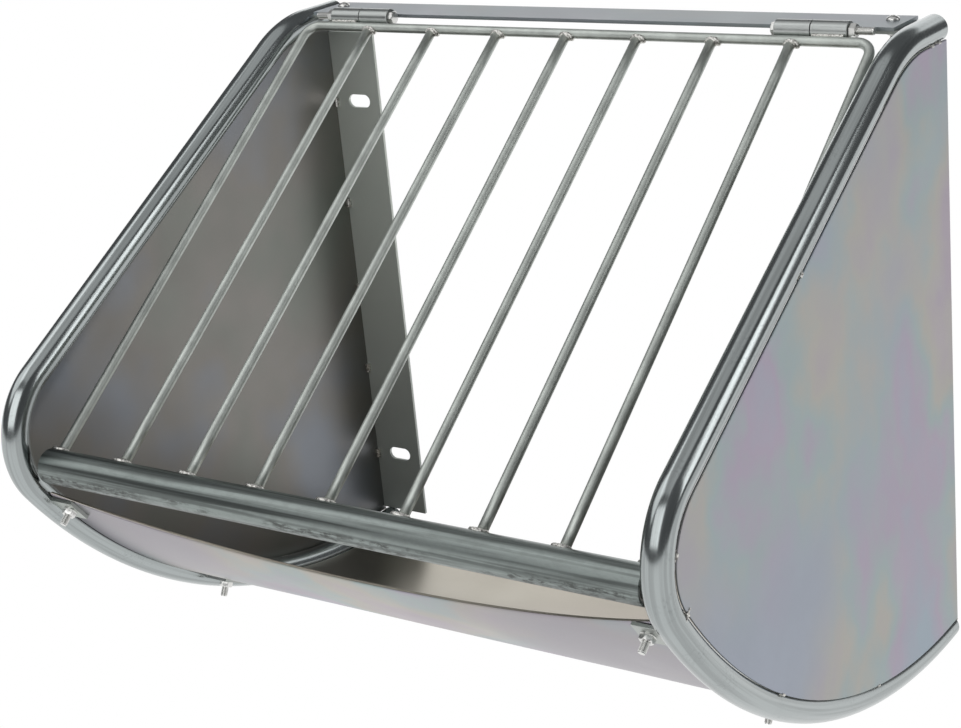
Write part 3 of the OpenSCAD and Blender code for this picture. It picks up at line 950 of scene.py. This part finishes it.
def hexTurning(name, rows, closed):
    # rings of (kind, size, height); a hexagon's size is a share of its width, a round ring's its radius
    flat = boltShape["hexAcrossFlats"] / 2
    sides = boltShape["hexSides"]
    points = []
    for kind, size, height in rows:
        for k in range(sides):
            a = 2 * math.pi * k / sides
            radius = flat / math.cos((a + math.pi / 6) % (math.pi / 3) - math.pi / 6)
            if kind == "round":
                radius = size
            elif size < 1:
                radius = min(radius, flat * boltShape["cutCorner"]) * size
            points.append((radius * math.cos(a), radius * math.sin(a), height))
    faces = ringFaces(len(rows), sides, closed)
    if not closed:
        for start in (0, (len(rows) - 1) * sides):
            faces.append(tuple(range(start, start + sides)))
    return meshFrom(name, points, faces)


def hexHead():
    height = boltShape["hexHead"]
    rows = [("hex", 1.0, 0.0), ("hex", 1.0, height * 0.86), ("hex", 0.93, height), ("hex", 0.001, height)]
    return hexTurning("hexHead", rows, False)


def flangeNut():
    # a hexagon nut, turned down at its outer end, on a thin washer face
    height, base, bore = nutShape["height"], nutShape["washer"], nutShape["bore"]
    rows = [("hex", 1.0, base), ("hex", 1.0, height * 0.85), ("hex", 0.94, height)]
    rows += [("round", bore, height), ("round", bore, 0), ("round", nutShape["washerFoot"], 0)]
    rows += [("round", nutShape["washerRadius"], base * 0.6), ("round", nutShape["washerTop"], base)]
    return hexTurning("flangeNut", rows, True)


def fastenerTree():
    # one template on each point, turned so that its +Z follows the point's axis
    tree = Tree("fastenerSet", Template="NodeSocketObject", Material="NodeSocketMaterial")
    template = tree.add("GeometryNodeObjectInfo", None, {"Object": tree.input("Template")}, out="Geometry")
    axis = tree.add("GeometryNodeInputNamedAttribute", {"data_type": "FLOAT_VECTOR"}, {"Name": "axis"})
    turn = tree.add("FunctionNodeAlignRotationToVector", {"axis": "Z"}, {"Vector": axis})
    sockets = {"Points": tree.input("Geometry"), "Instance": template, "Rotation": turn}
    return tree.finish(tree.add("GeometryNodeInstanceOnPoints", None, sockets))


fastenerGroup = fastenerTree()


def fastenerSet(name, node, places, parts):
    # places are (point under the head, direction the head faces)
    mesh = bpy.data.meshes.new(name)
    mesh.from_pydata([tuple(p) for p, _ in places], [], [])
    stored = mesh.attributes.new("axis", "FLOAT_VECTOR", "POINT")
    for item, (_, axis) in zip(stored.data, places):
        item.vector = axis
    joined = joinMeshes(name + "Template", parts)
    softShade(joined, boltShape["sharpAngle"])
    template = link(name + "Template", joined)
    obj = link(name, mesh)
    runTree(obj, fastenerGroup, Template=template, Material=brightZinc)
    bpy.data.objects.remove(template)
    softShade(obj.data, boltShape["sharpAngle"])
    return hand(obj, "frame", "fastener_zinc", brightZinc, node)


lugShape = {
    "fromFront": 23 * mm,
    "fromWall": 67 * mm,
    "boltX": 265 * mm,
    "boltSeat": 1.6 * mm,  # from the belly curve in to the bolt heads
    "nutSeat": 4.7 * mm,  # from the bolt heads out to the nuts
}
firstLug = bellyStart + lugShape["fromFront"] / bellyRadius
lastLug = bellyEnd - lugShape["fromWall"] / bellyRadius
lugAngles = [firstLug, (firstLug + lastLug) / 2, lastLug]
troughBoltPlaces, nutPlaces = [], []
for side in (left, right):
    for angle in lugAngles:
        spot = polar(bellyCentre, bellyRadius - lugShape["boltSeat"], angle)
        head = Vector((side * lugShape["boltX"], spot.x, spot.y))
        inward = -Vector((0, math.cos(angle), math.sin(angle)))
        troughBoltPlaces.append((head, inward))
        nutPlaces.append((head - inward * lugShape["nutSeat"], -inward))
troughBolt = [roundHead(), threadedShank(*boltShape["troughBolt"])]
fastenerSet("troughBolts", "trough_bolts", troughBoltPlaces, troughBolt)
fastenerSet("troughNuts", "trough_nuts", nutPlaces, [flangeNut()])

screwLow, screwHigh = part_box("strip_screws")
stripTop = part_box("top_strip")[1].z
screwX = screwHigh.x - boltShape["roundHeadRadius"]
screwY = (screwLow.y + screwHigh.y) / 2
fastenerSet(
    "stripScrews", "strip_screws",
    [(Vector((side * screwX, screwY, stripTop)), Vector((0, 0, 1))) for side in (left, right)],
    [roundHead(), threadedShank(*boltShape["stripScrew"])],
)

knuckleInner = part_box("right_fixed_knuckle")[0].x
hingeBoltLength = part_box("hinge_bolts")[1].x - knuckleInner
fastenerSet(
    "hingeBolts", "hinge_bolts",
    [(Vector((side * knuckleInner, hinge.y, hinge.z)), Vector((-side, 0, 0))) for side in (left, right)],
    [hexHead(), threadedShank(hingeBoltLength, boltShape["hingeThread"])],
)
print("bolts set")


# welds

weldShape = {
    "step": 0.7 * mm,
    "sides": 12,
    "lumps": 0.55,
    "lumpScale": 330.0,
    "meanWidth": 0.92,
    "grainScale": 900.0,
    "grainDepth": 0.9 * mm,
    "grilleSeed": 1.0,
    "frameSeed": 5.0,
}


def weldTree():
    # a lumpy bead along every line of the mesh; its radius comes from the width attribute
    tree = Tree(
        "weldBead", Step="NodeSocketFloat", Lumps="NodeSocketFloat", Seed="NodeSocketFloat",
        Material="NodeSocketMaterial",
    )
    spot = tree.add("GeometryNodeInputPosition")

    def noise(scale, detail):
        sockets = {"Vector": spot, "W": tree.input("Seed"), "Scale": scale, "Detail": detail}
        wave = tree.add("ShaderNodeTexNoise", {"noise_dimensions": "4D"}, sockets)
        return tree.math("SUBTRACT", wave, 0.5)

    curve = tree.add("GeometryNodeMeshToCurve", None, {"Mesh": tree.input("Geometry")})
    sockets = {"Curve": curve, "Length": tree.input("Step")}
    even = tree.add("GeometryNodeResampleCurve", {"mode": "LENGTH"}, sockets)
    swing = tree.math("MULTIPLY", noise(weldShape["lumpScale"], 2.0), tree.input("Lumps"))
    factor = tree.math("ADD", swing, weldShape["meanWidth"])
    width = tree.add("GeometryNodeInputNamedAttribute", {"data_type": "FLOAT"}, {"Name": "width"})
    radius = tree.math("MULTIPLY", factor, width)
    sockets = {"Resolution": weldShape["sides"], "Radius": 1.0}
    ring = tree.add("GeometryNodeCurvePrimitiveCircle", None, sockets)
    sockets = {"Curve": even, "Profile Curve": ring, "Scale": radius, "Fill Caps": True}
    bead = tree.add("GeometryNodeCurveToMesh", None, sockets)
    depth = tree.math("MULTIPLY", noise(weldShape["grainScale"], 1.0), weldShape["grainDepth"])
    normal = tree.add("GeometryNodeInputNormal")
    offset = tree.add("ShaderNodeVectorMath", {"operation": "SCALE"}, {0: normal, "Scale": depth})
    rough = tree.add("GeometryNodeSetPosition", None, {"Geometry": bead, "Offset": offset})
    return tree.finish(tree.add("GeometryNodeSetShadeSmooth", None, {"Geometry": rough}))


weldGroup = weldTree()


def weldLines(name, body, slotName, lines, seed):
    # lines are (points, bead radius, closed)
    points, edges, widths = [], [], []
    for path, width, closed in lines:
        start = len(points)
        points += [tuple(p) for p in path]
        widths += [width] * len(path)
        edges += [(start + k, start + k + 1) for k in range(len(path) - 1)]
        if closed:
            edges.append((start + len(path) - 1, start))
    mesh = bpy.data.meshes.new(name)
    mesh.from_pydata(points, edges, [])
    stored = mesh.attributes.new("width", "FLOAT", "POINT")
    for item, width in zip(stored.data, widths):
        item.value = width
    obj = link(name, mesh)
    runTree(
        obj, weldGroup, Step=weldShape["step"], Lumps=weldShape["lumps"], Seed=seed, Material=weldZinc,
    )
    return hand(obj, body, slotName, weldZinc)


def centred(length, steps):
    # even places along a length, with 0 in the middle
    return [length * (k / steps - 0.5) for k in range(steps + 1)]


def inset(low, high, margin, steps):
    # even places from low to high, with a margin at both ends
    return [low + margin + (high - low - 2 * margin) * k / steps for k in range(steps + 1)]


grilleWeld = {
    "footClear": 0.3 * mm,
    "footPoints": 30,
    "footBeads": ((0, 0.6 * mm, 2.2 * mm), (-2.2 * mm, 1.8 * mm, 1.98 * mm)),  # sideways, spread, radius
    "headClear": 0.5 * mm,
    "headReach": 3.4 * mm,
    "headPoints": 28,
    "headBeads": ((0, 0.2 * mm, 1.8 * mm), (2.2 * mm, 0.8 * mm, 1.53 * mm)),
    "knuckleMargin": 2 * mm,
    "knuckleDown": 7.7 * mm,
    "knuckleOut": 2.2 * mm,
    "knuckleRadius": 1.5 * mm,
    "knuckleSteps": 24,
}


def footRing(x, spread):
    # the line where a bar meets the cross tube, a little outside both
    rod = grilleShape["rodRadius"] + spread
    tube = grilleShape["tubeRadius"] + grilleWeld["footClear"]
    ring = []
    for k in range(grilleWeld["footPoints"]):
        a = 2 * math.pi * k / grilleWeld["footPoints"]
        out = rod * math.sin(a)
        ring.append(onGrille(x + rod * math.cos(a), grilleLength - math.sqrt(tube ** 2 - out ** 2), out))
    return ring


def headRing(x, spread):
    # the line where a bar meets the top rod
    rod = grilleShape["rodRadius"] + spread
    top = grilleShape["rodRadius"] + grilleWeld["headClear"]
    ring = []
    for k in range(grilleWeld["headPoints"]):
        a = 2 * math.pi * k / grilleWeld["headPoints"]
        out = grilleWeld["headReach"] * math.sin(a)
        down = grilleShape["rodOffset"] + math.sqrt(top ** 2 - out ** 2)
        ring.append(onGrille(x + rod * math.cos(a), down, out))
    return ring


grilleLines = []
for k in range(grilleShape["innerBars"] + 2):
    x = -sideRodX + k * barPitch
    for sideways, spread, radius in grilleWeld["footBeads"]:
        grilleLines.append((footRing(x + sideways, spread), radius, True))
    if 0 < k <= grilleShape["innerBars"]:
        for sideways, spread, radius in grilleWeld["headBeads"]:
            grilleLines.append((headRing(x + sideways, spread), radius, True))
for word in sideWords.values():
    low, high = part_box(word + "_moving_knuckle")
    places = inset(low.x, high.x, grilleWeld["knuckleMargin"], grilleWeld["knuckleSteps"])
    for out in (grilleWeld["knuckleOut"], -grilleWeld["knuckleOut"]):
        bead = [onGrille(x, grilleWeld["knuckleDown"], out) for x in places]
        grilleLines.append((bead, grilleWeld["knuckleRadius"], False))
weldLines("grilleWelds", "grille", "rod_zinc", grilleLines, weldShape["grilleSeed"])

frameWeld = {
    "scarX": 299.1 * mm,
    "scarStart": (-0.4345, -0.0284),
    "scarRun": (0.0077, 0.0085),
    "scarRadius": 0.7 * mm,
    "seamInset": 7.85 * mm,
    "seamRear": -1.5 * mm,
    "seamBeads": ((298.2 * mm, 4 * mm, 1.5 * mm), (296.6 * mm, 8 * mm, 1.4 * mm)),  # x, length, radius
    "seamPlaces": (
        (-0.4524, 0.0153), (-0.0246, 0.2577), (-0.0075, 0.258), (-0.0025, -0.2396),
        (-0.4385, -0.0327), (-0.1558, -0.2152), (-0.25, 0.155), (-0.31, -0.15),
    ),
    "flangeX": 295.8 * mm,
    "flangeY": -4.0 * mm,
    "flangeHeights": (0.173, 0.077, -0.007, -0.088, -0.177),
    "flangeLength": 8 * mm,
    "flangeRadius": 2.8 * mm,
    "lugX": 278.2 * mm,
    "lugRise": 1.6 * mm,
    "lugHalfWidth": 9 * mm,
    "lugLength": 6 * mm,
    "lugRadius": 1.5 * mm,
    "knuckleMargin": 3 * mm,
    "knuckleY": -46.0 * mm,
    "knuckleDrop": 3.4 * mm,
    "knuckleRadius": 1.3 * mm,
    "knuckleSteps": 20,
}
seam = rimPath(-frameWeld["seamInset"])


def seamTack(sideX, y, z, length):
    # a short bead on the seam between a rim and its panel, nearest to the given place
    near = min(range(len(seam)), key=lambda k: (seam[k][0] - Vector((y, z))).length)
    spot, normal = seam[near]
    along = Vector((-normal.y, normal.x))
    return [
        Vector((sideX, min(spot.x + along.x * t, frameWeld["seamRear"]), spot.y + along.y * t))
        for t in centred(length, 8)
    ]


def scarLine(side):
    # a thin line down the lower front of the panel's outer face
    (y, z), (runY, runZ) = frameWeld["scarStart"], frameWeld["scarRun"]
    return [Vector((side * frameWeld["scarX"], y - runY * k / 10, z - runZ * k / 10)) for k in range(11)]


def lugTack(side, angle, shift):
    # a short bead beside a lug, along the belly curve
    base = polar(bellyCentre, bellyRadius + frameWeld["lugRise"], angle + shift / bellyRadius)
    along = Vector((0, math.sin(angle), -math.cos(angle)))
    return [
        Vector((side * frameWeld["lugX"], base.x, base.y)) + along * t
        for t in centred(frameWeld["lugLength"], 6)
    ]


frameLines = [(scarLine(side), frameWeld["scarRadius"], False) for side in (left, right)]
for side, word in sideWords.items():
    for y, z in frameWeld["seamPlaces"]:
        for x, length, radius in frameWeld["seamBeads"]:
            frameLines.append((seamTack(side * x, y, z, length), radius, False))
    for z in frameWeld["flangeHeights"]:
        x, y = side * frameWeld["flangeX"], frameWeld["flangeY"]
        bead = [Vector((x, y, z + t)) for t in centred(frameWeld["flangeLength"], 8)]
        frameLines.append((bead, frameWeld["flangeRadius"], False))
    for angle in lugAngles:
        for shift in (-frameWeld["lugHalfWidth"], frameWeld["lugHalfWidth"]):
            frameLines.append((lugTack(side, angle, shift), frameWeld["lugRadius"], False))
    low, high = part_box(word + "_fixed_knuckle")
    places = inset(low.x, high.x, frameWeld["knuckleMargin"], frameWeld["knuckleSteps"])
    z = hinge.z - frameWeld["knuckleDrop"]
    bead = [Vector((x, frameWeld["knuckleY"], z)) for x in places]
    frameLines.append((bead, frameWeld["knuckleRadius"], False))
weldLines("frameWelds", "frame", "plate_zinc", frameLines, weldShape["frameSeed"])
print("welds laid")


# floor, light and camera

studioSet = {
    "floorHalfWidth": 6,
    "floorDrop": 1 * mm,
    "floorColour": (0.8, 0.8, 0.8, 1),
    "roomColour": (0.95, 0.97, 1, 1),
    "roomStrength": 0.13,
    "backColour": (1, 1, 1, 1),
}


def freshNodes(owner, *kinds):
    # empties the owner's node tree and gives it one node of each kind
    owner.use_nodes = True
    owner.node_tree.nodes.clear()
    return [owner.node_tree.nodes.new("ShaderNode" + kind) for kind in kinds]


def wireUp(owner, *pairs):
    for source, target in pairs:
        owner.node_tree.links.new(source, target)


floorMesh = bpy.data.meshes.new("floor")
floorZ = boxAtLoad[0].z - studioSet["floorDrop"]
half = studioSet["floorHalfWidth"]
corners = [(-half, -half, floorZ), (half, -half, floorZ), (half, half, floorZ), (-half, half, floorZ)]
floorMesh.from_pydata(corners, [], [(0, 1, 2, 3)])
floor = link("floor", floorMesh)
floorMaterial = bpy.data.materials.new("whiteFloor")
floorOut, floorMix, floorDiffuse, floorGlow, floorPath, floorSeen = freshNodes(
    floorMaterial, "OutputMaterial", "MixShader", "BsdfDiffuse", "Emission", "LightPath", "Math",
)
floorDiffuse.inputs["Color"].default_value = studioSet["floorColour"]
floorSeen.operation = "MAXIMUM"
# the camera and reflections see plain white; only diffuse light meets the grey floor
wireUp(
    floorMaterial,
    (floorPath.outputs["Is Camera Ray"], floorSeen.inputs[0]),
    (floorPath.outputs["Is Glossy Ray"], floorSeen.inputs[1]),
    (floorSeen.outputs[0], floorMix.inputs[0]),
    (floorDiffuse.outputs[0], floorMix.inputs[1]),
    (floorGlow.outputs[0], floorMix.inputs[2]),
    (floorMix.outputs[0], floorOut.inputs[0]),
)
floorMesh.materials.append(floorMaterial)

world = bpy.data.worlds.new("studio")
bpy.context.scene.world = world
worldOut, worldMix, roomLight, whiteBack, worldPath = freshNodes(
    world, "OutputWorld", "MixShader", "Background", "Background", "LightPath",
)
roomLight.inputs["Color"].default_value = studioSet["roomColour"]
roomLight.inputs["Strength"].default_value = studioSet["roomStrength"]
whiteBack.inputs["Color"].default_value = studioSet["backColour"]
wireUp(
    world,
    (worldPath.outputs["Is Camera Ray"], worldMix.inputs[0]),
    (roomLight.outputs[0], worldMix.inputs[1]),
    (whiteBack.outputs[0], worldMix.inputs[2]),
    (worldMix.outputs[0], worldOut.inputs[0]),
)

lampSet = {
    "leftBox": {"place": (-1.6, -1.0, 1.9), "aim": (0, -0.2, 0), "size": (1.7, 2.1), "power": 12},
    "frontBox": {"place": (0.15, -2.9, 1.65), "aim": (0, -0.2, 0.1), "size": (3.0, 2.3), "power": 34},
    "rightStrip": {"place": (2.3, 0.45, 1.3), "aim": (0.2, -0.3, 0), "size": (0.5, 1.8), "power": 7},
    "topBox": {"place": (-0.2, -0.3, 2.7), "aim": (-0.2, -0.2, 0), "size": (3.2, 2.6), "power": 13},
    "backBox": {"place": (-0.6, 2.6, 0.8), "aim": (0, 0, 0), "size": (3.6, 1.8), "power": 22},
}
for name, lamp in lampSet.items():
    data = bpy.data.lights.new(name, "AREA")
    data.shape = "RECTANGLE"
    data.size, data.size_y = lamp["size"]
    data.energy = lamp["power"]
    obj = link(name, data)
    obj.location = lamp["place"]
    obj.visible_camera = False
    obj.rotation_euler = (Vector(lamp["aim"]) - obj.location).to_track_quat("-Z", "Y").to_euler()

cameraSet = {
    "place": (0.9111, -1.4709, 0.5723),
    "right": (0.8226, 0.5609, -0.0934),
    "down": (0.1154, -0.3254, -0.9385),
    "lens": 77.9,
    "sensor": 36,
}
cameraData = bpy.data.cameras.new("photoCamera")
cameraData.lens = cameraSet["lens"]
cameraData.sensor_width = cameraSet["sensor"]
camera = link("photoCamera", cameraData)
across = Vector(cameraSet["right"]).normalized()
ahead = Vector(cameraSet["right"]).cross(Vector(cameraSet["down"])).normalized()
upward = ahead.cross(across) * -1
turn = Matrix((across, upward, -ahead)).transposed()
camera.matrix_world = Matrix.Translation(cameraSet["place"]) @ turn.to_4x4()
bpy.context.scene.camera = camera
bpy.context.scene.view_settings.view_transform = "Standard"

print("scene ready")
